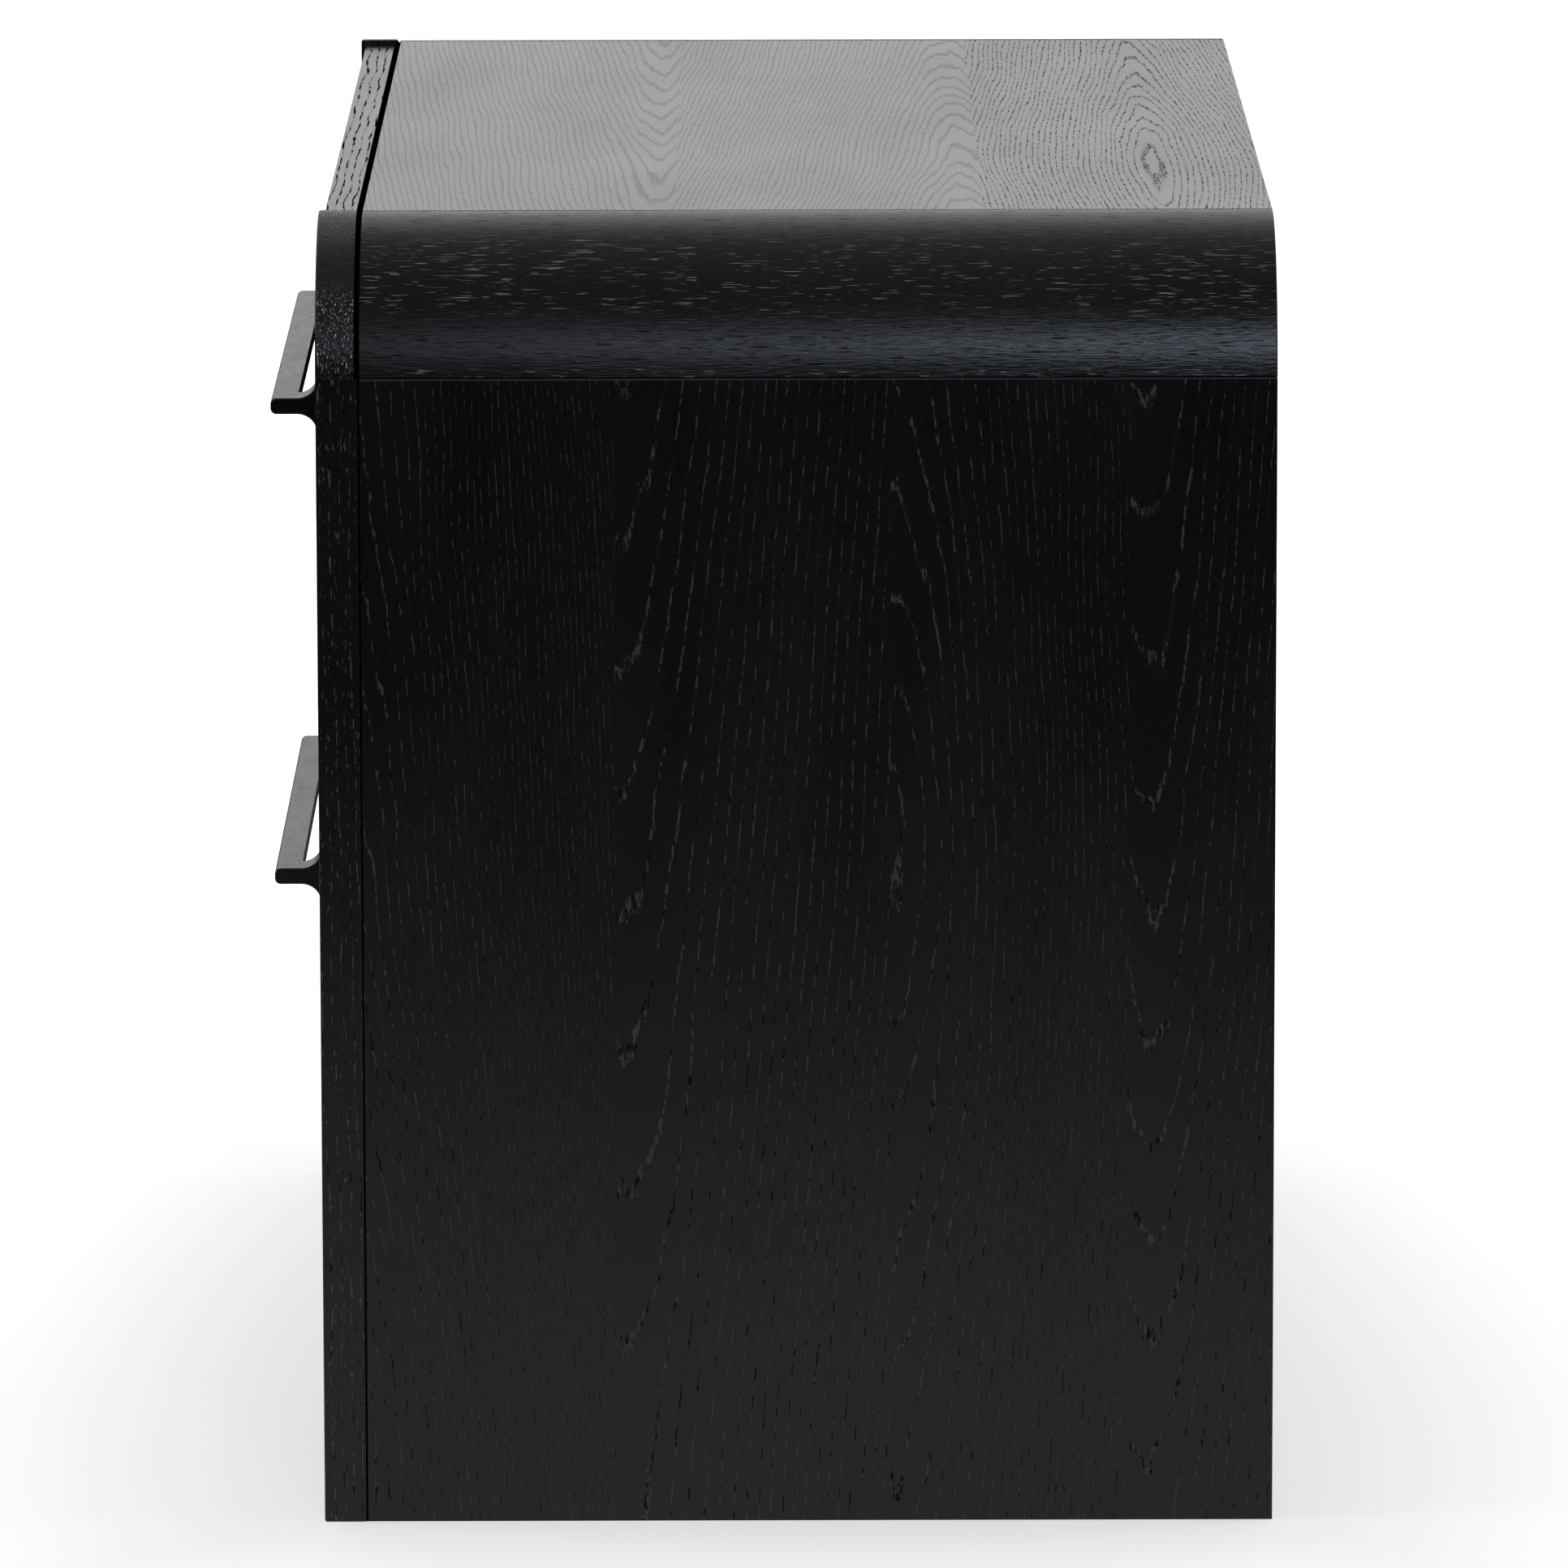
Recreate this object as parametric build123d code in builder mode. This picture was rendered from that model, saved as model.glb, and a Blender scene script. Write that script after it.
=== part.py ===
from build123d import *
import os

os.makedirs("parts", exist_ok=True)

# A two-drawer nightstand, in millimetres. +Z is up and the front faces -Y. The origin is on
# the floor, at the middle of the width and of the whole depth, handles included.

# Driving dimensions of the outside
width = 700.0
height = 550.0
corner_radius = 62.5
front_y = -187.0
back_y = 213.0
frame_thickness = 18.0
frame_proud = 0.5
board_thickness = 20.0
seam_chamfer = 0.4
edge_rounding = 0.5
frame_rounding = 1.0
post_chamfer = 0.8
block_chamfer = 1.9

# Drawer fronts and the rail under them
front_recess = 2.0
front_thickness = 14.0
top_drop = 2.4
side_gap = 2.0
front_gap = 3.0
drawer_pitch = 206.0
rail_height = 36.0
floor_board_thickness = 18.0

# Back panel, in a rebate cut into the case; rebate_overcut keeps the cut clear of coincident faces
back_thickness = 6.0
back_rebate_depth = 10.0
back_rebate_width = 8.0
back_fit = 0.3
rebate_overcut = 2.0

# Drawer boxes
box_wall = 12.0
box_height = 150.0
box_length = 350.0
box_rise = 12.0
drawer_bottom_thickness = 6.0
drawer_bottom_rise = 10.0
groove_depth = 6.0
box_edge_rounding = 1.0

# Handles
handle_length = 325.0
handle_projection = 28.0
handle_above_centre = 1.4
bar_depth = 11.5
bar_height = 7.0
bar_rounding = 2.5
leg_width = 17.5
flare_radius = 8.5
foot_rounding = 1.0
end_rounding = 0.8

# Telescopic runners: three nested channels, each a stated distance off the batten's face
runner_space = 12.7
runner_height = 45.0
runner_length = 350.0
runner_setback = 3.0
runner_wall = 1.2
runner_clearance = 0.4
runner_rise = 45.0
cabinet_channel_depth = 9.6
middle_channel_from = 2.0
middle_channel_to = 10.4
drawer_channel_from = 4.0
batten_height = 72.0
batten_screw_offset = 30.0

# Fasteners: shank radius, length under the head, head radius, head height, flush or proud head
fit_gap = 0.1
dowel_radius = 4.0
dowel_length = 40.0
dowel_chamfer = 0.8
dowel_in_front = 10.0
dowel_in_side = 12.0
dowel_row_inset = 45.0
case_dowel_spacing = 100.0
floor_dowel_spacing = 140.0
post_dowel_levels = (60.0, 240.0, 420.0)
block_dowel_inset = 20.0
rail_dowel_inset = 9.0
box_dowel_radius = 3.0
box_dowel_length = 30.0
box_dowel_cover = 3.0
back_screw_levels = (150.0, 250.0, 350.0, 450.0)
back_screw_columns = (-225.0, -75.0, 75.0, 225.0)
runner_screw_inset = 35.0
batten_screw_inset = 30.0
front_screw_column = 215.0
front_screw_shares = (0.25, 0.8)
box_dowel_shares = (0.25, 0.75)
back_screw = {"shank": 1.5, "length": 14.0, "head": 3.0, "head_height": 1.6, "flush": True}
batten_screw = {"shank": 2.0, "length": 54.0, "head": 3.8, "head_height": 2.2, "flush": True}
cabinet_screw = {"shank": 1.9, "length": 16.0, "head": 3.0, "head_height": 1.1, "flush": True}
member_screw = {"shank": 1.9, "length": 10.0, "head": 3.4, "head_height": 1.6, "flush": False}
front_screw = {"shank": 2.0, "length": 22.0, "head": 4.0, "head_height": 2.2, "flush": False}
handle_screw = {"shank": 2.0, "length": 35.0, "head": 4.0, "head_height": 2.6, "flush": False}
recess_width = 0.9
recess_depth = 0.9
recess_share = 1.1

# Planes and levels that follow from them
corner_x = width / 2 - corner_radius
corner_z = height - corner_radius
case_front = front_y + frame_thickness
case_radius = corner_radius - frame_proud
case_x = corner_x + case_radius
case_top = corner_z + case_radius
inner_x = case_x - board_thickness
inner_top = case_top - board_thickness
inner_back = back_y - back_rebate_depth
side_mid_x = case_x - board_thickness / 2
front_height = drawer_pitch - front_gap
front_face_y = front_y + front_recess
front_back_y = front_face_y + front_thickness
upper_front_z = height - top_drop - front_height
lower_front_z = upper_front_z - drawer_pitch
rail_top = lower_front_z - front_gap
floor_board_z = rail_top - floor_board_thickness
box_x = corner_x - runner_space
box_inner_x = box_x - box_wall
box_front_y = front_back_y
box_back_y = box_front_y + box_length
runner_y = case_front + runner_setback
cabinet_half = runner_height / 2
middle_half = cabinet_half - runner_wall - runner_clearance
drawer_half = middle_half - runner_wall - runner_clearance
handle_front_y = front_face_y - handle_projection
bar_back_y = handle_front_y + bar_depth

sides = {"left": -1, "right": 1}
drawers = {"upper": upper_front_z, "lower": lower_front_z}
centred = (Align.CENTER, Align.CENTER)


def span(x, y, z, mode=Mode.ADD):
    """A cuboid between three (low, high) ranges."""
    with Locations(((x[0] + x[1]) / 2, (y[0] + y[1]) / 2, (z[0] + z[1]) / 2)):
        Box(abs(x[1] - x[0]), abs(y[1] - y[0]), abs(z[1] - z[0]), mode=mode)


def along_x(x, y, z, sign=1):
    """A plane at a point, whose normal points along +X or -X."""
    return Plane((x, y, z), x_dir=(0, 1, 0), z_dir=(sign, 0, 0))


def along_y(x, y, z, sign=1):
    """A plane at a point, whose normal points along +Y or -Y."""
    return Plane((x, y, z), x_dir=(1, 0, 0), z_dir=(0, sign, 0))


def pegs(seats, radius, length):
    """Cylinders that start on each seat plane and run along its normal."""
    with Locations(*seats):
        Cylinder(radius, length, align=(*centred, Align.MIN))


def screws(seats, kind, grow=0.0):
    """Screws whose heads bear on the seat planes and whose shanks run into the material."""
    head_side = Align.MAX if kind["flush"] else Align.MIN
    with Locations(*seats):
        Cylinder(kind["shank"] + grow, kind["length"] + grow, align=(*centred, Align.MAX))
        if kind["flush"]:
            Cone(kind["shank"] + grow, kind["head"] + grow, kind["head_height"], align=(*centred, head_side))
        else:
            Cylinder(kind["head"] + grow, kind["head_height"], align=(*centred, head_side))


def cross_recesses(seats, kind):
    """The driver's cross, sunk into each screw head."""
    top = 0.0 if kind["flush"] else kind["head_height"]
    long_side = kind["head"] * recess_share
    with Locations(*[seat.offset(top) for seat in seats]):
        Box(long_side, recess_width, recess_depth, align=(*centred, Align.MAX), mode=Mode.SUBTRACT)
        Box(recess_width, long_side, recess_depth, align=(*centred, Align.MAX), mode=Mode.SUBTRACT)


def outer_face(piece, sign):
    """The face furthest from the middle of the width, on one side."""
    return piece.faces().sort_by(Axis.X)[-1 if sign > 0 else 0]


# Where the carcase's dowels sit: each plane is at one end of a dowel
half_dowel = dowel_length / 2
case_dowel_rows = [case_front + dowel_row_inset + case_dowel_spacing * i for i in range(4)]
floor_dowel_rows = [case_front + dowel_row_inset + floor_dowel_spacing * i for i in range(3)]
rail_dowel_levels = [rail_top - rail_dowel_inset, rail_top - rail_height + rail_dowel_inset]
arc_middle = (case_radius - board_thickness / 2) * 0.5 ** 0.5
top_mid_z = case_top - board_thickness / 2
floor_mid_z = floor_board_z + floor_board_thickness / 2
frame_mid_y = front_y + frame_thickness / 2
rail_mid_y = (front_face_y + case_front) / 2
into_front_y = case_front - dowel_in_front
dowel_seats = []
for sign in sides.values():
    for row in case_dowel_rows:
        dowel_seats.append(Plane((sign * side_mid_x, row, corner_z - half_dowel)))
        dowel_seats.append(along_x(sign * (corner_x - half_dowel), row, top_mid_z, sign))
    for row in floor_dowel_rows:
        dowel_seats.append(along_x(sign * (inner_x + dowel_in_side), row, floor_mid_z, -sign))
    for level in post_dowel_levels:
        dowel_seats.append(along_y(sign * side_mid_x, into_front_y, level))
    for level in rail_dowel_levels:
        dowel_seats.append(along_x(sign * (corner_x - half_dowel), rail_mid_y, level, sign))
    dowel_seats.append(along_y(sign * (corner_x + arc_middle), into_front_y, corner_z + arc_middle))
    dowel_seats.append(Plane((sign * (corner_x + block_dowel_inset), frame_mid_y, corner_z - half_dowel)))

# Where the screws that hold the case together sit
back_face_y = inner_back + back_thickness
back_screw_x = inner_x + back_rebate_width / 2
back_screw_top = inner_top + back_rebate_width / 2
back_screw_seats = [
    along_y(sign * back_screw_x, back_face_y, level)
    for sign in sides.values()
    for level in back_screw_levels
]
back_screw_seats += [
    along_y(x, back_face_y, level)
    for x in back_screw_columns
    for level in (floor_mid_z, back_screw_top)
]
runner_levels = {name: z + box_rise + runner_rise for name, z in drawers.items()}
runner_end = runner_y + runner_length
runner_middle = runner_y + runner_length / 2
runner_screw_rows = [runner_y + runner_screw_inset, runner_middle, runner_end - runner_screw_inset]
batten_screw_rows = [runner_y + batten_screw_inset, runner_end - batten_screw_inset]
cabinet_screw_seats = [
    along_x(sign * (corner_x - runner_wall), row, level, -sign)
    for sign in sides.values()
    for level in runner_levels.values()
    for row in runner_screw_rows
]
batten_screw_seats = [
    along_x(sign * corner_x, row, level + shift, -sign)
    for sign in sides.values()
    for level in runner_levels.values()
    for row in batten_screw_rows
    for shift in (-batten_screw_offset, batten_screw_offset)
]

# Fasteners of the case, and the bores that they leave in it
with BuildPart() as case_dowels:
    pegs(dowel_seats, dowel_radius, dowel_length)
    chamfer(case_dowels.edges().filter_by(GeomType.CIRCLE), dowel_chamfer)
case_dowels.part.label = "case_dowels"
export_step(case_dowels.part, "parts/case_dowels.step")

with BuildPart() as back_panel_screws:
    screws(back_screw_seats, back_screw)
    cross_recesses(back_screw_seats, back_screw)
back_panel_screws.part.label = "back_panel_screws"
export_step(back_panel_screws.part, "parts/back_panel_screws.step")

with BuildPart() as batten_screws:
    screws(batten_screw_seats, batten_screw)
    cross_recesses(batten_screw_seats, batten_screw)
batten_screws.part.label = "batten_screws"
export_step(batten_screws.part, "parts/batten_screws.step")

with BuildPart() as cabinet_member_screws:
    screws(cabinet_screw_seats, cabinet_screw)
    cross_recesses(cabinet_screw_seats, cabinet_screw)
cabinet_member_screws.part.label = "cabinet_member_screws"
export_step(cabinet_member_screws.part, "parts/cabinet_member_screws.step")

with BuildPart() as case_bores:
    pegs(dowel_seats, dowel_radius + fit_gap, dowel_length)
    screws(back_screw_seats, back_screw, fit_gap)
    screws(batten_screw_seats, batten_screw, fit_gap)
    screws(cabinet_screw_seats, cabinet_screw, fit_gap)


# The carcase: side panels, quarter-round corner mouldings, top, floor and back
def make_side_panel(side, sign):
    with BuildPart() as side_panel:
        span((sign * inner_x, sign * case_x), (case_front, back_y), (0, corner_z))
        fillet(outer_face(side_panel, sign).edges().filter_by(Axis.Z), edge_rounding)
        top_edge = outer_face(side_panel, sign).edges().filter_by(Axis.Y).sort_by(Axis.Z)[-1]
        chamfer(top_edge, seam_chamfer)
        rebate_x = (sign * inner_x, sign * (inner_x + back_rebate_width))
        span(rebate_x, (inner_back, back_y), (floor_board_z, corner_z), mode=Mode.SUBTRACT)
        add(case_bores.part, mode=Mode.SUBTRACT)
    side_panel.part.label = f"side_panel_{side}"
    export_step(side_panel.part, f"parts/side_panel_{side}.step")


def make_corner_moulding(side, sign):
    with BuildPart() as moulding:
        with BuildSketch(Plane.XZ.offset(-back_y)):
            with Locations((sign * corner_x, corner_z)):
                Circle(case_radius)
                Circle(case_radius - board_thickness, mode=Mode.SUBTRACT)
            with Locations((sign * (corner_x + case_radius / 2), corner_z + case_radius / 2)):
                Rectangle(case_radius, case_radius, mode=Mode.INTERSECT)
        extrude(amount=back_y - case_front)
        round_face = moulding.faces().filter_by(GeomType.CYLINDER).sort_by(SortBy.AREA)[-1]
        fillet(round_face.edges().filter_by(GeomType.CIRCLE), edge_rounding)
        round_face = moulding.faces().filter_by(GeomType.CYLINDER).sort_by(SortBy.AREA)[-1]
        chamfer(round_face.edges().filter_by(Axis.Y), seam_chamfer)
        with BuildSketch(Plane.XZ.offset(-back_y)):
            with Locations((sign * corner_x, corner_z)):
                Circle(case_radius - board_thickness + back_rebate_width)
                Circle(case_radius - board_thickness - rebate_overcut, mode=Mode.SUBTRACT)
            with Locations((sign * (corner_x + case_radius / 2), corner_z + case_radius / 2)):
                Rectangle(case_radius + rebate_overcut, case_radius + rebate_overcut, mode=Mode.INTERSECT)
        extrude(amount=back_rebate_depth, mode=Mode.SUBTRACT)
        add(case_bores.part, mode=Mode.SUBTRACT)
    moulding.part.label = f"corner_moulding_{side}"
    export_step(moulding.part, f"parts/corner_moulding_{side}.step")


def make_top_panel():
    with BuildPart() as top_panel:
        span((-corner_x, corner_x), (case_front, back_y), (inner_top, case_top))
        fillet(top_panel.faces().sort_by(Axis.Z)[-1].edges().filter_by(Axis.X), edge_rounding)
        chamfer(top_panel.faces().sort_by(Axis.Z)[-1].edges().filter_by(Axis.Y), seam_chamfer)
        rebate_z = (inner_top, inner_top + back_rebate_width)
        span((-corner_x, corner_x), (inner_back, back_y), rebate_z, mode=Mode.SUBTRACT)
        add(case_bores.part, mode=Mode.SUBTRACT)
    top_panel.part.label = "top_panel"
    export_step(top_panel.part, "parts/top_panel.step")


def make_floor_board():
    with BuildPart() as floor_board:
        span((-inner_x, inner_x), (case_front, inner_back), (floor_board_z, rail_top))
        add(case_bores.part, mode=Mode.SUBTRACT)
    floor_board.part.label = "floor_board"
    export_step(floor_board.part, "parts/floor_board.step")


def make_back_panel():
    reach = case_radius - board_thickness + back_rebate_width - back_fit
    panel_x = corner_x + reach
    panel_top = corner_z + reach
    with BuildPart() as back_panel:
        with BuildSketch(Plane.XZ.offset(-inner_back - back_thickness)) as outline:
            with Locations((0, (floor_board_z + panel_top) / 2)):
                Rectangle(2 * panel_x, panel_top - floor_board_z)
            fillet(outline.vertices().group_by(Axis.Y)[-1], reach)
        extrude(amount=back_thickness)
        add(case_bores.part, mode=Mode.SUBTRACT)
    back_panel.part.label = "back_panel"
    export_step(back_panel.part, "parts/back_panel.step")


# The front frame: two posts, a quarter-disc block on each, and the rail between them
def make_front_post(side, sign):
    with BuildPart() as post:
        span((sign * corner_x, sign * width / 2), (front_y, case_front), (0, corner_z))
        front_edges = post.faces().sort_by(Axis.Y)[0].edges()
        bottom_edge = front_edges.filter_by(Axis.X).sort_by(Axis.Z)[0]
        fillet([bottom_edge, *front_edges.filter_by(Axis.Z)], frame_rounding)
        rear_edges = post.edges().filter_by(Axis.Z).group_by(Axis.Y)[-1].sort_by(Axis.X)
        chamfer(rear_edges[-1 if sign > 0 else 0], post_chamfer)
        add(case_bores.part, mode=Mode.SUBTRACT)
    post.part.label = f"front_post_{side}"
    export_step(post.part, f"parts/front_post_{side}.step")


def make_corner_block(side, sign):
    with BuildPart() as block:
        with BuildSketch(Plane.XZ.offset(-case_front)):
            with Locations((sign * corner_x, corner_z)):
                Circle(corner_radius)
            with Locations((sign * (corner_x + corner_radius / 2), corner_z + corner_radius / 2)):
                Rectangle(corner_radius, corner_radius, mode=Mode.INTERSECT)
        extrude(amount=frame_thickness)
        chamfer(block.edges().filter_by(GeomType.CIRCLE).sort_by(Axis.Y)[-1], block_chamfer)
        front_edges = block.faces().sort_by(Axis.Y)[0].edges()
        fillet(front_edges.filter_by(GeomType.CIRCLE) + front_edges.filter_by(Axis.Z), frame_rounding)
        add(case_bores.part, mode=Mode.SUBTRACT)
    block.part.label = f"corner_block_{side}"
    export_step(block.part, f"parts/corner_block_{side}.step")


def make_front_rail():
    with BuildPart() as rail:
        span((-corner_x, corner_x), (front_face_y, case_front), (rail_top - rail_height, rail_top))
        fillet(rail.faces().sort_by(Axis.Y)[0].edges().filter_by(Axis.X), frame_rounding)
        add(case_bores.part, mode=Mode.SUBTRACT)
    rail.part.label = "front_rail"
    export_step(rail.part, "parts/front_rail.step")


# Runners: a batten on the side panel and three channels that nest in one another
def make_runner_batten(level_name, side, sign):
    level = runner_levels[level_name]
    half = batten_height / 2
    with BuildPart() as batten:
        span((sign * corner_x, sign * inner_x), (case_front, runner_end), (level - half, level + half))
        add(case_bores.part, mode=Mode.SUBTRACT)
    batten.part.label = f"{level_name}_runner_batten_{side}"
    export_step(batten.part, f"parts/{level_name}_runner_batten_{side}.step")


def channel(sign, level, web, tip, half_height):
    """A steel channel between two distances off the batten, with its web at the first one."""
    web_side = 1 if tip > web else -1
    x_web = sign * (corner_x - web)
    x_tip = sign * (corner_x - tip)
    x_floor = sign * (corner_x - web - web_side * runner_wall)
    y_range = (runner_y, runner_end)
    span((x_web, x_tip), y_range, (level - half_height, level + half_height))
    inside = half_height - runner_wall
    span((x_floor, x_tip), y_range, (level - inside, level + inside), mode=Mode.SUBTRACT)


def make_fixed_runner(level_name, side, sign):
    level = runner_levels[level_name]
    with BuildPart() as cabinet_member:
        channel(sign, level, 0.0, cabinet_channel_depth, cabinet_half)
        add(case_bores.part, mode=Mode.SUBTRACT)
    cabinet_member.part.label = f"{level_name}_cabinet_member_{side}"
    export_step(cabinet_member.part, f"parts/{level_name}_cabinet_member_{side}.step")

    with BuildPart() as middle_member:
        channel(sign, level, middle_channel_from, middle_channel_to, middle_half)
    middle_member.part.label = f"{level_name}_middle_member_{side}"
    export_step(middle_member.part, f"parts/{level_name}_middle_member_{side}.step")


# Drawers: each is a box of five boards behind a separate front, with its handle and fasteners
def make_drawer(level_name, front_z):
    box_z = front_z + box_rise
    box_top = box_z + box_height
    bottom_z = box_z + drawer_bottom_rise
    bottom_top = bottom_z + drawer_bottom_thickness
    handle_z = front_z + front_height / 2 + handle_above_centre
    handle_hole_x = handle_length / 2 - leg_width / 2
    inner_front_y = box_front_y + box_wall
    inner_back_y = box_back_y - box_wall
    box_height_range = (box_z, box_top)
    bottom_range = (bottom_z, bottom_top)
    bottom_x = box_inner_x + groove_depth
    bottom_y = (inner_front_y - groove_depth, inner_back_y + groove_depth)

    handle_seats = [along_y(sign * handle_hole_x, inner_front_y, handle_z) for sign in sides.values()]
    front_seats = [
        along_y(x, inner_front_y, box_z + share * box_height)
        for x in (-front_screw_column, front_screw_column)
        for share in front_screw_shares
    ]
    runner_seats = [
        along_x(sign * (box_x + runner_wall), row, runner_levels[level_name], sign)
        for sign in sides.values()
        for row in runner_screw_rows
    ]
    dowel_rows = [box_z + share * box_height for share in box_dowel_shares]
    dowel_seats = [
        along_x(sign * (box_x - box_dowel_cover), y, z, -sign)
        for sign in sides.values()
        for y in (box_front_y + box_wall / 2, box_back_y - box_wall / 2)
        for z in dowel_rows
    ]

    with BuildPart() as handle_screws:
        screws(handle_seats, handle_screw)
        cross_recesses(handle_seats, handle_screw)
    handle_screws.part.label = f"{level_name}_handle_screws"
    export_step(handle_screws.part, f"parts/{level_name}_handle_screws.step")

    with BuildPart() as front_screws:
        screws(front_seats, front_screw)
        cross_recesses(front_seats, front_screw)
    front_screws.part.label = f"{level_name}_front_screws"
    export_step(front_screws.part, f"parts/{level_name}_front_screws.step")

    with BuildPart() as runner_screws:
        screws(runner_seats, member_screw)
        cross_recesses(runner_seats, member_screw)
    runner_screws.part.label = f"{level_name}_drawer_member_screws"
    export_step(runner_screws.part, f"parts/{level_name}_drawer_member_screws.step")

    with BuildPart() as box_dowels:
        pegs(dowel_seats, box_dowel_radius, box_dowel_length)
    box_dowels.part.label = f"{level_name}_drawer_dowels"
    export_step(box_dowels.part, f"parts/{level_name}_drawer_dowels.step")

    with BuildPart() as bores:
        screws(handle_seats, handle_screw, fit_gap)
        screws(front_seats, front_screw, fit_gap)
        screws(runner_seats, member_screw, fit_gap)
        pegs(dowel_seats, box_dowel_radius + fit_gap, box_dowel_length)

    with BuildPart() as front:
        front_x = corner_x - side_gap
        span((-front_x, front_x), (front_face_y, front_back_y), (front_z, front_z + front_height))
        fillet(front.faces().sort_by(Axis.Y)[0].edges(), frame_rounding)
        add(bores.part, mode=Mode.SUBTRACT)
    front.part.label = f"{level_name}_drawer_front"
    export_step(front.part, f"parts/{level_name}_drawer_front.step")

    with BuildPart() as box_front:
        span((-box_inner_x, box_inner_x), (box_front_y, inner_front_y), box_height_range)
        groove_y = (inner_front_y - groove_depth, inner_front_y)
        span((-box_inner_x, box_inner_x), groove_y, bottom_range, mode=Mode.SUBTRACT)
        add(bores.part, mode=Mode.SUBTRACT)
    box_front.part.label = f"{level_name}_box_front"
    export_step(box_front.part, f"parts/{level_name}_box_front.step")

    with BuildPart() as box_back:
        span((-box_inner_x, box_inner_x), (inner_back_y, box_back_y), box_height_range)
        groove_y = (inner_back_y, inner_back_y + groove_depth)
        span((-box_inner_x, box_inner_x), groove_y, bottom_range, mode=Mode.SUBTRACT)
        add(bores.part, mode=Mode.SUBTRACT)
    box_back.part.label = f"{level_name}_box_back"
    export_step(box_back.part, f"parts/{level_name}_box_back.step")

    with BuildPart() as box_bottom:
        span((-bottom_x, bottom_x), bottom_y, bottom_range)
    box_bottom.part.label = f"{level_name}_box_bottom"
    export_step(box_bottom.part, f"parts/{level_name}_box_bottom.step")

    for side, sign in sides.items():
        with BuildPart() as box_side:
            span((sign * box_inner_x, sign * box_x), (box_front_y, box_back_y), box_height_range)
            top_edges = box_side.faces().sort_by(Axis.Z)[-1].edges().filter_by(Axis.Y)
            fillet(top_edges, box_edge_rounding)
            groove_x = (sign * box_inner_x, sign * bottom_x)
            span(groove_x, bottom_y, bottom_range, mode=Mode.SUBTRACT)
            add(bores.part, mode=Mode.SUBTRACT)
        box_side.part.label = f"{level_name}_box_side_{side}"
        export_step(box_side.part, f"parts/{level_name}_box_side_{side}.step")

        with BuildPart() as drawer_member:
            channel(sign, runner_levels[level_name], runner_space, drawer_channel_from, drawer_half)
            add(bores.part, mode=Mode.SUBTRACT)
        drawer_member.part.label = f"{level_name}_drawer_member_{side}"
        export_step(drawer_member.part, f"parts/{level_name}_drawer_member_{side}.step")

    foot_half = bar_height / 2 + flare_radius
    bar_start = -handle_length / 2
    with BuildPart() as handle:
        with BuildSketch(Plane.YZ.offset(bar_start)) as bar_section:
            with Locations((handle_front_y + bar_depth / 2, handle_z)):
                Rectangle(bar_depth, bar_height)
            fillet(bar_section.vertices().group_by(Axis.X)[0], bar_rounding)
        extrude(amount=handle_length)
        for leg_start in (bar_start, handle_length / 2 - leg_width):
            with BuildSketch(Plane.YZ.offset(leg_start)):
                with Locations(((bar_back_y + front_face_y) / 2, handle_z)):
                    Rectangle(front_face_y - bar_back_y, 2 * foot_half)
                with Locations((bar_back_y, handle_z - foot_half), (bar_back_y, handle_z + foot_half)):
                    Circle(flare_radius, mode=Mode.SUBTRACT)
            extrude(amount=leg_width)
        foot_y = bar_back_y + flare_radius
        foot_edges = handle.edges().filter_by(Axis.X)
        foot_edges = foot_edges.filter_by(lambda edge: abs(edge.center().Y - foot_y) < fit_gap)
        fillet(foot_edges, foot_rounding)
        end_faces = handle.faces().filter_by(Axis.X)
        end_faces = end_faces.group_by(Axis.X)[0] + end_faces.group_by(Axis.X)[-1]
        fillet(end_faces.edges().filter_by(lambda edge: edge.center().Y < bar_back_y - fit_gap), end_rounding)
        add(bores.part, mode=Mode.SUBTRACT)
    handle.part.label = f"{level_name}_handle"
    export_step(handle.part, f"parts/{level_name}_handle.step")


make_top_panel()
make_floor_board()
make_back_panel()
make_front_rail()
for side, sign in sides.items():
    make_side_panel(side, sign)
    make_corner_moulding(side, sign)
    make_front_post(side, sign)
    make_corner_block(side, sign)
    for level_name in drawers:
        make_runner_batten(level_name, side, sign)
        make_fixed_runner(level_name, side, sign)
for level_name, front_z in drawers.items():
    make_drawer(level_name, front_z)
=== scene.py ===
import bpy
import math
from mathutils import Matrix, Vector

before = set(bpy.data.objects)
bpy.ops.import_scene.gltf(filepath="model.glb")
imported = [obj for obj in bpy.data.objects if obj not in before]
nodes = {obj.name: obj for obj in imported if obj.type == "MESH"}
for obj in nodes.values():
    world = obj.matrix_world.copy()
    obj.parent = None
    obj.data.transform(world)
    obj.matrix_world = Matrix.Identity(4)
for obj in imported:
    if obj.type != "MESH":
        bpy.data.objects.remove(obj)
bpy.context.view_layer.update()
print("frame loaded:", len(nodes), "nodes")

millimetres = 1000  # in a metre
seedAlong = 0.37  # share of a seed that shifts the noise along the grain


# One socket of a shader; a Python expression on it adds the Math nodes it needs
class Wire:
    def __init__(self, finish, socket):
        self.finish = finish
        self.socket = socket

    def __add__(self, other):
        return self.finish.maths("ADD", self, other)

    def __sub__(self, other):
        return self.finish.maths("SUBTRACT", self, other)

    def __rsub__(self, other):
        return self.finish.maths("SUBTRACT", other, self)

    def __mul__(self, other):
        return self.finish.maths("MULTIPLY", self, other)

    def __truediv__(self, other):
        return self.finish.maths("DIVIDE", self, other)

    def __gt__(self, other):
        return self.finish.maths("GREATER_THAN", self, other)

    def __abs__(self):
        return self.finish.maths("ABSOLUTE", self)

    __radd__ = __add__
    __rmul__ = __mul__


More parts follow.
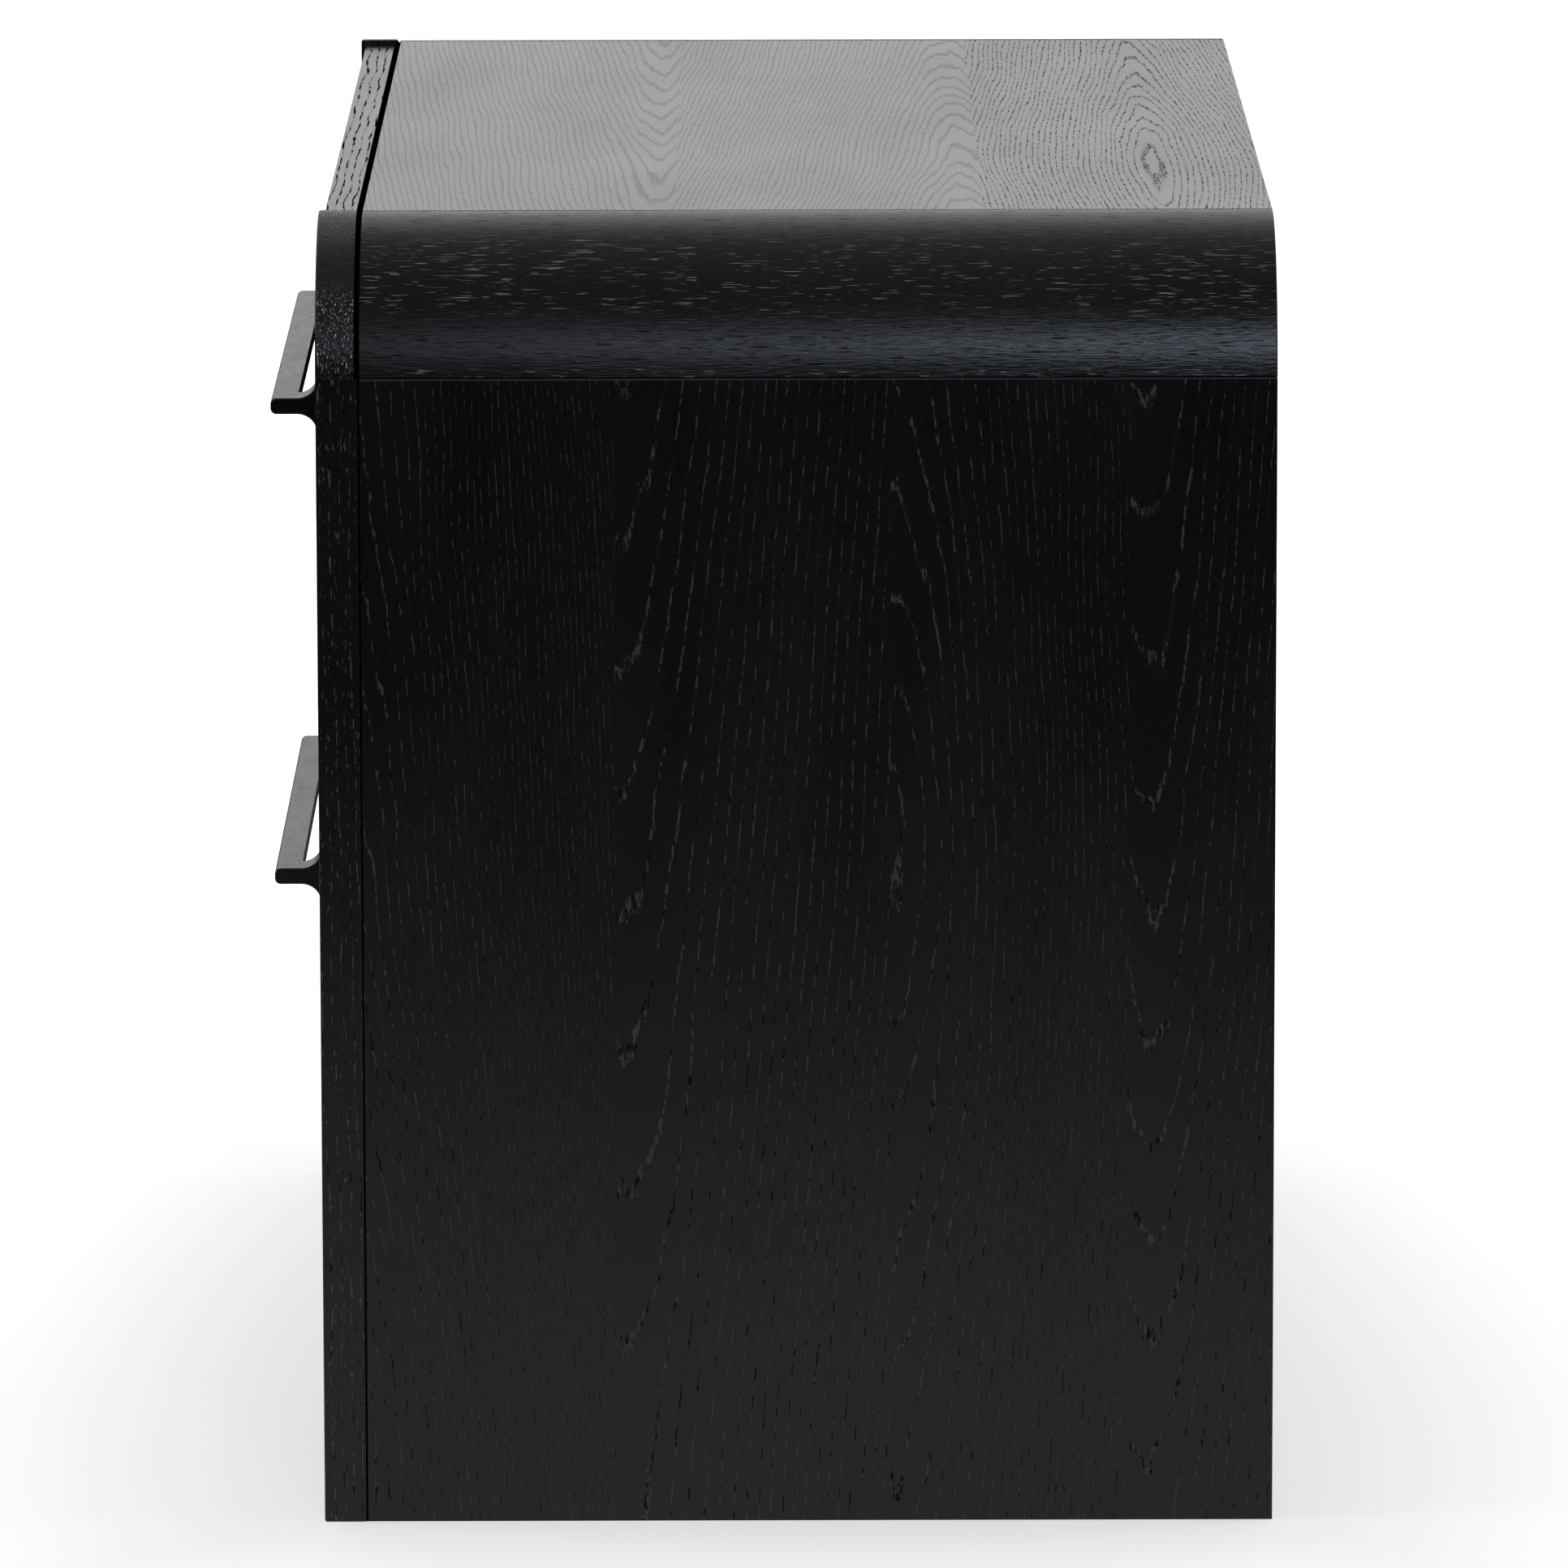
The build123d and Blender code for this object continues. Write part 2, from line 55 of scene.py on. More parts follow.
# A material, or the world, and the nodes in it
class Finish:
    def __init__(self, owner):
        self.owner = owner
        owner.use_nodes = True
        self.tree = owner.node_tree
        self.tree.nodes.clear()

    # Any node: its type, the settings that come first, then its sockets' values or wires
    def add(self, kind, settings=None, sockets=None, output=0):
        node = self.tree.nodes.new(kind)
        for name, value in (settings or {}).items():
            if name == "stops":
                ramp = node.color_ramp.elements
                ramp.remove(ramp[1])
                ramp[0].position = value[0][0]
                for position, colour in value:
                    stop = ramp[0] if position == value[0][0] else ramp.new(position)
                    stop.color = (*colour, 1)
            else:
                setattr(node, name, value)
        for name, value in (sockets or {}).items():
            if isinstance(value, Wire):
                self.tree.links.new(value.socket, node.inputs[name])
            else:
                node.inputs[name].default_value = value
        return Wire(self, node.outputs[output]) if len(node.outputs) else None

    def maths(self, operation, *values):
        return self.add("ShaderNodeMath", {"operation": operation}, dict(enumerate(values)))

    # 0 below low, 1 above high, and a smooth rise between them
    def rise(self, value, low, high):
        settings = {"interpolation_type": "SMOOTHSTEP"}
        return self.add("ShaderNodeMapRange", settings, {"Value": value, 1: low, 2: high})

    def blend(self, share, first, second):
        settings = {"data_type": "RGBA"}
        return self.add("ShaderNodeMix", settings, {0: share, 6: first, 7: second}, output=2)

    # The place on the piece, in millimetres, as three wires
    def place(self):
        here = self.add("ShaderNodeTexCoord", output="Object")
        split = self.add("ShaderNodeSeparateXYZ", None, {0: here}).socket.node
        return {axis.lower(): Wire(self, split.outputs[axis]) * millimetres for axis in "XYZ"}

    # Noise that is as long as each given length, in millimetres. The seed shifts it, less along the grain.
    def grainNoise(self, across, along, through, lengths, detail=1.0, seed=0.0):
        spot = self.add("ShaderNodeCombineXYZ", None, {
            0: across * (1 / lengths[0]) + seed,
            1: along * (1 / lengths[1]) + seed * seedAlong,
            2: through * (1 / lengths[2])})
        return self.add("ShaderNodeTexNoise", {"noise_dimensions": "3D"}, {
            "Vector": spot, "Scale": 1.0, "Detail": detail})

    def surface(self, shader):
        onPiece = isinstance(self.owner, bpy.types.Material)
        kind = "ShaderNodeOutputMaterial" if onPiece else "ShaderNodeOutputWorld"
        self.add(kind, None, {"Surface": shader})


# Stained oak: tree rings cut by the board, with open pores in each ring's early wood.
# Lengths are in millimetres, but relief is in metres.
oakStain = {
    "body": (0.0095, 0.0093, 0.0093, 1),
    "late": (0.0068, 0.0066, 0.0066, 1),
    "pore": (0.088, 0.088, 0.096, 1),
    "deepPore": (0.012, 0.012, 0.013, 1),
    # The next two: a painted shade for the grooves between parts, and a painted highlight along an edge
    "gapShade": (0.003, 0.003, 0.003, 1),
    "lit": (0.10, 0.10, 0.11, 1),
    "ior": 1.5,
    "roughness": 0.22,
    "cloudRoughness": 0.07,
    "fibreRoughness": 0.10,
    "earlyRoughness": 0.05,
    "poreRoughness": 0.95,
    "relief": 0.00020,
    "ringRelief": 0.06,
    "fibreRelief": 0.10,
    "fibreSize": (0.5, 9, 0.5),
    "peel": 0.0,
    "rings": [3.4],
    "depths": [35],
    "foldRound": 1400.0,  # square of the fold's rounding
    # Each noise's detail, and its shift from the piece's seed
    "grains": {
        "sway": (1.0, 0), "waver": (3.0, 3), "cloud": (2.0, 5),
        "speck": (1.0, 7), "fibre": (2.0, 11), "fill": (0.0, 15)},
    "earlyShare": 0.13,
    "earlyEdge": (0.5, 1.4),  # where the early wood starts to end and has ended, as shares of earlyShare
    "sway": 9,
    "swaySize": (70, 240, 70),
    "waver": 2.6,
    "waverWidth": 9,
    "waverLength": 46,
    "cloudSize": (45, 130, 45),
    "cloudRange": (0.3, 0.7),
    "poreWidth": 0.9,
    "poreLength": 3.6,
    "poreEdge": 0.012,
    "poreCluster": 0.0,
    "poreLevel": 0.80,
    "poreGain": 0.31,
    "fillSize": (2, 8, 2),
    "fillRange": (0.40, 0.46),
    "glintCore": 0.5,  # share of a glint's reach that is fully bright
    "wrapTurn": (0.8, 0.6),  # shares of across and of through in the one measure around a rounded piece
}


# Steps a value from leaf to leaf of the veneer
def byLeaf(across, joints, values):
    total = values[0]
    for joint, before, after in zip(joints, values, values[1:]):
        if before != after:
            total = (across > joint) * (after - before) + total
    return total


# The distance from the heart of the tree is the root of the distance across squared plus the depth squared.
# A taper along the trunk turns its contours into arches, and a fold closes them into ovals.
def makeOak(name, cut):
    look = {**oakStain, **cut}
    finish = Finish(bpy.data.materials.new(name))
    place = finish.place()
    along, across, through = (place[look[key]] for key in ("along", "across", "through"))
    if look.get("wrapped"):
        across = across * look["wrapTurn"][0] - through * look["wrapTurn"][1]

    def noise(kind, size, run=along):
        detail, shift = look["grains"][kind]
        return finish.grainNoise(across, run, through, size, detail, look["seed"] + shift)

    joints = look.get("joints", [])
    centre = byLeaf(across, joints, look["centres"])
    taper = byLeaf(across, joints, look["tapers"])
    sway = noise("sway", look["swaySize"]) * look["sway"] - look["sway"] / 2
    waverSize = (look["waverWidth"], look["waverLength"], look["waverWidth"])
    waver = (noise("waver", waverSize) - 0.5) * look["waver"]
    offset = across - centre
    depth = abs(through - look["face"]) + byLeaf(across, joints, look["depths"])
    radius = finish.maths("SQRT", offset * offset + depth * depth) + taper * along + sway + waver
    if "folds" in look:
        reach = along - look["foldAt"]
        fold = byLeaf(across, joints, look["folds"])
        radius = radius + fold * finish.maths("SQRT", reach * reach + look["foldRound"])
    phase = finish.maths("FRACT", radius / byLeaf(across, joints, look["rings"]))
    early = 1 - finish.rise(phase, *(look["earlyShare"] * edge for edge in look["earlyEdge"]))
    poreSize = (look["poreWidth"], look["poreLength"], look["poreWidth"])
    poreRun = along * byLeaf(across, joints, look["poreRuns"]) if "poreRuns" in look else along
    speck = noise("speck", poreSize, poreRun)
    cloud = noise("cloud", look["cloudSize"])
    level = look["poreLevel"] - look["poreGain"] * early + (cloud - 0.5) * look["poreCluster"]
    pores = finish.rise(speck - level, -look["poreEdge"], look["poreEdge"])
    # Each leaf's pores show with their own strength; on the top, the back leaf's strong pores are partly the
    # veneer's own and partly painted light, standing in for the sheen there
    if "strengths" in look:
        pores = pores * byLeaf(across, joints, look["strengths"])
    # Some pores are deep and dark, and the rest catch the light
    fill = noise("fill", look["fillSize"])
    pore = finish.blend(finish.rise(fill, *look["fillRange"]), look["deepPore"], look["pore"])
    # Near these levels, and behind plainBefore, the pores take a light colour: a painted highlight
    for middle, reach in look.get("glints", []):
        dull = finish.rise(abs(place["z"] - middle), reach * look["glintCore"], reach)
        if "plainBefore" in look:
            dull = finish.maths("MAXIMUM", dull, look["plainBefore"] - place["y"] > 0)
        pore = finish.blend(dull, look["glint"], pore)
    # Seams: past a place on an axis, the surface takes a painted shade, as if in the shadow of the groove, or
    # a painted highlight along an edge.
    # Along x, the place is the same on the left and the right.
    for axis, where, side, colour in look.get("seams", []):
        spot = abs(place[axis]) if axis == "x" else place[axis]
        band = (spot - where) * side > 0
        pores = finish.maths("MAXIMUM", pores, band)
        pore = finish.blend(band, pore, look[colour])
    fibre = noise("fibre", look["fibreSize"])
    tone = finish.blend(finish.rise(cloud, *look["cloudRange"]), look["late"], look["body"])
    rough = look["roughness"] + look["cloudRoughness"] * (cloud - 0.5)
    rough = rough + look["fibreRoughness"] * (fibre - 0.5) + look["earlyRoughness"] * early
    height = fibre * look["fibreRelief"] + speck * look["peel"] - pores - early * look["ringRelief"]
    bump = finish.add("ShaderNodeBump", None, {"Distance": look["relief"], "Height": height, "Strength": 1.0})
    lacquer = finish.add("ShaderNodeBsdfPrincipled", None, {
        "Base Color": tone, "Roughness": rough, "IOR": look["ior"], "Normal": bump})
    openPore = finish.add("ShaderNodeBsdfPrincipled", None, {
        "Base Color": pore, "Roughness": look["poreRoughness"], "Specular IOR Level": 0.0, "Normal": bump})
    finish.surface(finish.add("ShaderNodeMixShader", None, {0: pores, 1: lacquer, 2: openPore}))
    return finish.owner


# What both pieces of a pair share
mouldingCut = {
    "along": "y", "across": "z", "through": "x", "wrapped": True, "rings": [2.3],
    "relief": 0.0003, "ringRelief": 0.0, "fibreRelief": 0.3, "peel": 0.25,
    "poreLevel": 0.695, "poreGain": 0.05, "poreWidth": 0.42, "poreLength": 11.0, "poreCluster": 0.08,
    # Pores near the glint heights get a painted highlight
    "pore": (0.012, 0.012, 0.013, 1), "glints": [(528, 19), (488, 5)], "glint": (0.52, 0.52, 0.55, 1),
    "seams": [("z", 488.1, -1, "gapShade"), ("x", 288.0, -1, "gapShade"), ("y", -168.5, -1, "gapShade")],
}
postCut = {
    "along": "z", "across": "x", "through": "y", "face": -187, "rings": [2.4],
    "poreLevel": 0.69, "poreGain": 0.17, "poreWidth": 0.6, "poreLength": 4.0, "pore": (0.13, 0.13, 0.14, 1),
    "seams": [("y", -169.5, 1, "gapShade")],
}
blockCut = {
    "along": "z", "across": "x", "through": "y", "face": -187, "tapers": [0.01], "rings": [2.2],
    "relief": 0.0003, "ringRelief": 0.0, "peel": 1.6,
    "poreLevel": 0.66, "poreGain": 0.06, "poreWidth": 0.5, "poreLength": 3.4, "pore": (0.03, 0.03, 0.032, 1),
    # Pores near the glint height, behind the front face, get painted highlight specks
    "glints": [(507, 22)], "glint": (0.75, 0.75, 0.79, 1), "plainBefore": -186.2,
    "seams": [("y", -170.9, 1, "gapShade")],
}
# A drawer front's last leaf is the band along its top edge
drawerCut = {
    "along": "x", "across": "z", "through": "y", "face": -185,
    "tapers": [0.05, -0.05, 0.002], "depths": [35, 35, 3], "rings": [3.4, 3.4, 3.7], "waver": 4.5,
    "earlyShare": 0.24, "poreRuns": [1, 1, 0.3], "poreLength": 6.0, "pore": (0.010, 0.010, 0.011, 1),
    "relief": 0.0003, "seams": [("y", -171.6, 1, "gapShade")],
}

# Each oak piece: the grain's direction, the veneer's joints, and each leaf's heart line and rings
oakCuts = {
    "side_panel_right": {
        "along": "z", "across": "y", "through": "x", "face": 350, "joints": [-63, 52, 152],
        "centres": [-182, -60, 50, 160], "tapers": [0.05, -0.07, 0.0, -0.07], "folds": [0.0, 0.0, 0.05, 0.0],
        "foldAt": 290, "depths": [62, 35, 50, 30], "rings": [2.1, 4.4, 2.7, 3.7], "seed": 1.3,
        "seams": [("z", 486.9, 1, "lit"), ("y", -168.6, -1, "gapShade")]},
    "side_panel_left": {
        "along": "z", "across": "y", "through": "x", "face": -350, "joints": [-58, 50, 158],
        "centres": [-66, -52, 150, 164], "tapers": [-0.06, 0.0, -0.06, 0.05], "folds": [0.0, 0.05, 0.0, 0.0],
        "foldAt": 250, "depths": [35, 50, 35, 40], "rings": [3.8, 2.9, 4.2, 3.1], "seed": 8.1,
        "seams": [("z", 486.9, 1, "lit"), ("y", -168.6, -1, "gapShade")]},
    "top_panel": {
        "along": "x", "across": "y", "through": "z", "face": 550, "joints": [-38, 92],
        "centres": [-46, 84, 168], "tapers": [0.05, -0.06, 0.0], "folds": [0.0, 0.0, 0.05], "foldAt": 150,
        "depths": [12, 14, 8], "rings": [2.8, 2.4, 2.3], "strengths": [0.09, 0.14, 0.85], "seed": 4.4,
        "waver": 4.6, "waverLength": 130, "fibreRelief": 0.25, "ringRelief": 0.0, "earlyShare": 0.26,
        "poreGain": 0.27, "poreLength": 7.0, "poreWidth": 0.8,
        "pore": (0.24, 0.24, 0.25, 1), "deepPore": (0.05, 0.05, 0.052, 1),
        "seams": [("x", 286.6, 1, "gapShade"), ("y", -168.5, -1, "gapShade")]},
    "corner_moulding_right": {**mouldingCut, "face": 350, "centres": [40], "tapers": [0.012], "seed": 2.2},
    "corner_moulding_left": {**mouldingCut, "face": -350, "centres": [60], "tapers": [-0.012], "seed": 6.7},
    "front_post_right": {**postCut, "centres": [290], "tapers": [0.01], "seed": 3.1},
    "front_post_left": {**postCut, "centres": [-290], "tapers": [-0.012], "seed": 5.1},
    "corner_block_right": {**blockCut, "centres": [290], "seed": 9.1},
    "corner_block_left": {**blockCut, "centres": [-290], "seed": 9.7},
    "upper_drawer_front": {**drawerCut, "joints": [446, 547.1], "centres": [425, 470, 547.6], "seed": 12.4},
    "lower_drawer_front": {**drawerCut, "joints": [240, 341.1], "centres": [210, 262, 341.6], "seed": 14.9},
    "front_rail": {
        "along": "x", "across": "z", "through": "y", "face": -185,
        "centres": [80], "tapers": [0.01], "seed": 16.2},
    "floor_board": {
        "along": "x", "across": "y", "through": "z", "face": 117, "joints": [-40, 90],
        "centres": [-100, 30, 150], "tapers": [0.05, -0.06, 0.05], "depths": [35, 20, 35],
        "rings": [3.4, 3.0, 3.8], "seed": 18.5},
    "back_panel": {
        "along": "z", "across": "x", "through": "y", "face": 209, "joints": [-180, -60, 60, 180],
        "centres": [-235, -75, -10, 75, 235], "tapers": [0.06, -0.06, 0.0, 0.06, -0.06],
        "folds": [0.0, 0.0, 0.06, 0.0, 0.0], "foldAt": 300, "depths": [35, 35, 20, 35, 35],
        "rings": [3.4, 3.9, 3.1, 4.2, 3.4], "roughness": 0.45, "seed": 20.3},
}
for name, cut in oakCuts.items():
    nodes[name].data.materials.clear()
    nodes[name].data.materials.append(makeOak("oak_" + name, cut))
print("oak on", len(oakCuts), "pieces")


# Powder-coated handle metal: a fine pebbled skin with rare dark specks
handleCoat = {
    "body": (0.0040, 0.0036, 0.0033, 1),
    "light": (0.0080, 0.0072, 0.0064, 1),
    "speck": (0.002, 0.002, 0.002, 1),
    "pebbleSize": (0.7, 0.7, 0.7),
    "driftSize": (22, 9, 9),
    "driftRange": (0.35, 0.65),
    "speckSize": (1.6, 1.6, 1.6),
    "speckRange": (0.74, 0.78),
    "speckDepth": 0.8,
    "relief": 0.00006,
    "roughness": 0.28,
    "pebbleRoughness": 0.12,
    "driftRoughness": 0.10,
    "speckRoughness": 0.25,
    "ior": 1.45,
}


def makeHandleCoat():
    coat = handleCoat
    finish = Finish(bpy.data.materials.new("handleCoat"))
    place = finish.place()
    x, y, z = place["x"], place["y"], place["z"]
    pebble = finish.grainNoise(x, y, z, coat["pebbleSize"], detail=2.0)
    drift = finish.grainNoise(x, y, z, coat["driftSize"], detail=2.0, seed=4.0)
    specks = finish.grainNoise(x, y, z, coat["speckSize"], detail=0.0, seed=9.0)
    dot = finish.rise(specks, *coat["speckRange"])
    tone = finish.blend(finish.rise(drift, *coat["driftRange"]), coat["body"], coat["light"])
    colour = finish.blend(dot, tone, coat["speck"])
    rough = coat["roughness"] + coat["pebbleRoughness"] * (pebble - 0.5)
    rough = rough + coat["driftRoughness"] * (drift - 0.5) + coat["speckRoughness"] * dot
    height = pebble - dot * coat["speckDepth"]
    bump = finish.add("ShaderNodeBump", None, {"Distance": coat["relief"], "Height": height, "Strength": 1.0})
    finish.surface(finish.add("ShaderNodeBsdfPrincipled", None, {
        "Base Color": colour, "Roughness": rough, "IOR": coat["ior"], "Normal": bump}))
    return finish.owner


# Birch plywood: pale face veneer with faint figure, and the plies as bands through the thickness
plyLook = {
    "face": (0.56, 0.42, 0.27, 1),
    "dark": (0.44, 0.31, 0.19, 1),
    "glue": (0.20, 0.13, 0.08, 1),
    "ply": 1.5,
    "glueRange": (0.42, 0.49),
    "glueShare": 0.55,
    "figureSize": (9, 120, 30),
    "figureShare": 0.75,
    "figureRange": (0.35, 0.68),
    "fibreSize": (0.5, 22, 0.5),
    "fibreShare": 0.25,
    "relief": 0.0001,
    "reliefStrength": 0.7,
    "roughness": 0.46,
    "fibreRoughness": 0.16,
}


def makePly(name, along, across, through, seed):
    look = plyLook
    finish = Finish(bpy.data.materials.new(name))
    place = finish.place()
    run, side, deep = place[along], place[across], place[through]
    figure = finish.grainNoise(side, run, deep, look["figureSize"], detail=3.0, seed=seed)
    fibre = finish.grainNoise(side, run, deep, look["fibreSize"], detail=2.0, seed=seed + 2)
    layer = finish.maths("FRACT", deep * (1 / look["ply"]))
    glue = finish.rise(abs(layer - 0.5), *look["glueRange"])
    share = finish.rise(figure * look["figureShare"] + fibre * look["fibreShare"], *look["figureRange"])
    colour = finish.blend(share, look["face"], look["dark"])
    colour = finish.blend(glue * look["glueShare"], colour, look["glue"])
    rough = look["roughness"] + look["fibreRoughness"] * (fibre - 0.5)
    bump = finish.add("ShaderNodeBump", None, {
        "Distance": look["relief"], "Height": fibre, "Strength": look["reliefStrength"]})
    finish.surface(finish.add("ShaderNodeBsdfPrincipled", None, {
        "Base Color": colour, "Roughness": rough, "Normal": bump}))
    return finish.owner


# Plain timber for battens and dowels
timberLook = {
    "batten": ((0.50, 0.36, 0.22, 1), (0.36, 0.24, 0.14, 1)),
    "dowel": ((0.60, 0.42, 0.26, 1), (0.48, 0.31, 0.18, 1)),
    "ringSize": (6, 160, 4),
    "ringCount": 7,
    "ringRange": (0.2, 0.5),
    "ringShare": 0.7,
    "fibreSize": (0.6, 18, 0.6),
    "fibreShare": 0.3,
    "relief": 0.00012,
    "reliefStrength": 0.7,
    "roughness": 0.5,
    "fibreRoughness": 0.15,
}


def makeTimber(kind):
    look = timberLook
    light, dark = look[kind]
    finish = Finish(bpy.data.materials.new("timber_" + kind))
    place = finish.place()
    x, y, z = place["x"], place["y"], place["z"]
    ring = finish.grainNoise(x, y, z, look["ringSize"], detail=2.0, seed=1.0)
    fibre = finish.grainNoise(x, y, z, look["fibreSize"], detail=2.0, seed=5.0)
    phase = finish.maths("FRACT", ring * look["ringCount"])
    line = finish.rise(abs(phase - 0.5), *look["ringRange"])
    colour = finish.blend(line * look["ringShare"] + fibre * look["fibreShare"], light, dark)
    rough = look["roughness"] + look["fibreRoughness"] * (fibre - 0.5)
    bump = finish.add("ShaderNodeBump", None, {
        "Distance": look["relief"], "Height": fibre, "Strength": look["reliefStrength"]})
    finish.surface(finish.add("ShaderNodeBsdfPrincipled", None, {
        "Base Color": colour, "Roughness": rough, "Normal": bump}))
    return finish.owner


# Zinc-plated steel: drawn lines along the runner and a soft spangle.
# The runner and the screw each have the size of their drawn lines, and a roughness.
steelLook = {
    "runner": ((0.4, 40, 0.4), 0.34),
    "screw": ((0.5, 0.5, 0.5), 0.30),
    "light": (0.62, 0.63, 0.64, 1),
    "dark": (0.42, 0.43, 0.45, 1),
    "spangleScale": 0.22,
    "spangleShare": 0.5,
    "drawnShare": 0.5,
    "drawnRoughness": 0.18,
    "spangleRoughness": 0.08,
    "relief": 0.00003,
    "reliefStrength": 0.5,
}


def makeSteel(kind):
    look = steelLook
    drawnSize, roughness = look[kind]
    finish = Finish(bpy.data.materials.new(kind + "Steel"))
    place = finish.place()
    x, y, z = place["x"], place["y"], place["z"]
    drawn = finish.grainNoise(x, y, z, drawnSize, detail=2.0, seed=2.0)
    spot = finish.add("ShaderNodeCombineXYZ", None, {0: x, 1: y, 2: z})
    spangle = finish.add("ShaderNodeTexVoronoi", {"feature": "F1"}, {
        "Vector": spot, "Scale": look["spangleScale"]}, output="Color")
    patch = finish.add("ShaderNodeSeparateColor", None, {0: spangle})
    share = patch * look["spangleShare"] + drawn * look["drawnShare"]
    colour = finish.blend(share, look["light"], look["dark"])
    rough = roughness + look["drawnRoughness"] * (drawn - 0.5) + look["spangleRoughness"] * (patch - 0.5)
    bump = finish.add("ShaderNodeBump", None, {
        "Distance": look["relief"], "Height": drawn, "Strength": look["reliefStrength"]})
    finish.surface(finish.add("ShaderNodeBsdfPrincipled", None, {
        "Base Color": colour, "Metallic": 1.0, "Roughness": rough, "Normal": bump}))
    return finish.owner


handleCoatMaterial = makeHandleCoat()
runnerSteel = makeSteel("runner")
screwSteel = makeSteel("screw")
battenWood = makeTimber("batten")
dowelWood = makeTimber("dowel")
plySides = makePly("plySides", "y", "z", "x", seed=1.0)
plyEnds = makePly("plyEnds", "x", "z", "y", seed=2.0)
plyBottom = makePly("plyBottom", "x", "y", "z", seed=3.0)
endings = {
    "_handle": handleCoatMaterial, "_screws": screwSteel, "_dowels": dowelWood,
    "_member_left": runnerSteel, "_member_right": runnerSteel,
    "_batten_left": battenWood, "_batten_right": battenWood,
    "_box_side_left": plySides, "_box_side_right": plySides, "_box_bottom": plyBottom,
    "_box_front": plyEnds, "_box_back": plyEnds,
}
for name, node in nodes.items():
    for ending, material in endings.items():
        if name.endswith(ending):
            node.data.materials.clear()
            node.data.materials.append(material)
plain = [name for name, node in nodes.items() if name not in oakCuts and not name.endswith(tuple(endings))]
print("other finishes done, left over:", plain)


# Floor: a wide pale sheet that glows, with a painted shadow: dimmer under the nightstand and brighter away
# from it. Lengths are in metres.
floorLook = {
    "reach": 30.0,
    "paint": (0.86, 0.86, 0.86, 1),
    "halfWidth": 0.35,
    "halfDepth": 0.20,
    "glow": 0.54,
    "openGlow": 0.31,
    "openRange": (-0.05, 0.32),
    "farGlow": 0.16,
    "farRange": (0.35, 1.3),
    "behindGlow": 0.07,
    "behindFrom": 0.2,
    "behindRange": (0.0, 0.6),
    "mirrored": 0.42,  # brightness as the other pieces see it, which fades out over mirroredRange
    "mirroredRange": (0.6, 2.2),
}


def makeFloor():
    look = floorLook
    mesh = bpy.data.meshes.new("floor")
    r = look["reach"]
    mesh.from_pydata([(-r, -r, 0), (r, -r, 0), (r, r, 0), (-r, r, 0)], [], [(0, 1, 2, 3)])
    sheet = bpy.data.objects.new("floor", mesh)
    bpy.context.scene.collection.objects.link(sheet)
    finish = Finish(bpy.data.materials.new("floorSheet"))
    place = finish.place()
    x, y = place["x"] * (1 / millimetres), place["y"] * (1 / millimetres)
    distance = finish.maths("SQRT", x * x + y * y)
    fade = (1 - finish.rise(distance, *look["mirroredRange"])) * look["mirrored"]
    seen = finish.add("ShaderNodeLightPath", output="Is Camera Ray")
    paint = finish.add("ShaderNodeBsdfDiffuse", None, {"Color": look["paint"]})
    # The glow paints the shadow: weak beside the nightstand, stronger further out and behind it
    beside = finish.maths("MAXIMUM", abs(x) - look["halfWidth"], abs(y) - look["halfDepth"])
    away = finish.rise(beside, *look["openRange"]) * look["openGlow"] + look["glow"]
    away = away + finish.rise(beside, *look["farRange"]) * look["farGlow"]
    away = away + finish.rise(look["behindFrom"] - x, *look["behindRange"]) * look["behindGlow"]
    glow = finish.add("ShaderNodeEmission", None, {"Strength": away})
    lit = finish.add("ShaderNodeAddShader", None, {0: paint, 1: glow})
    dim = finish.add("ShaderNodeEmission", None, {"Strength": fade})
    finish.surface(finish.add("ShaderNodeMixShader", None, {0: seen, 1: dim, 2: lit}))
    mesh.materials.append(finish.owner)


makeFloor()

# Studio: a white wall behind, a dim room above and in front, as a ramp from +X to -X
studioLook = {
    "stops": [
        (0.0, 0.10), (0.25, 0.14), (0.37, 0.17), (0.5, 0.23), (0.665, 0.26),
        (0.78, 0.30), (0.86, 0.60), (0.915, 1.06), (0.96, 0.54), (1.0, 1.0)],
    "open": 1.0,
}
world = bpy.data.worlds.new("studio")
bpy.context.scene.world = world
sky = Finish(world)
direction = sky.add("ShaderNodeTexCoord", output="Generated")
toward = sky.add("ShaderNodeSeparateXYZ", None, {0: direction})
stops = [(position, (grey, grey, grey)) for position, grey in studioLook["stops"]]
ramp = sky.add("ShaderNodeValToRGB", {"stops": stops}, {0: 0.5 - 0.5 * toward})
seenSky = sky.add("ShaderNodeLightPath", output="Is Camera Ray")
room = sky.add("ShaderNodeBackground", None, {"Color": ramp})
clear = sky.add("ShaderNodeBackground", None, {
    "Color": (1, 1, 1, 1), "Strength": studioLook["open"]})
sky.surface(sky.add("ShaderNodeMixShader", None, {0: seenSky, 1: room, 2: clear}))

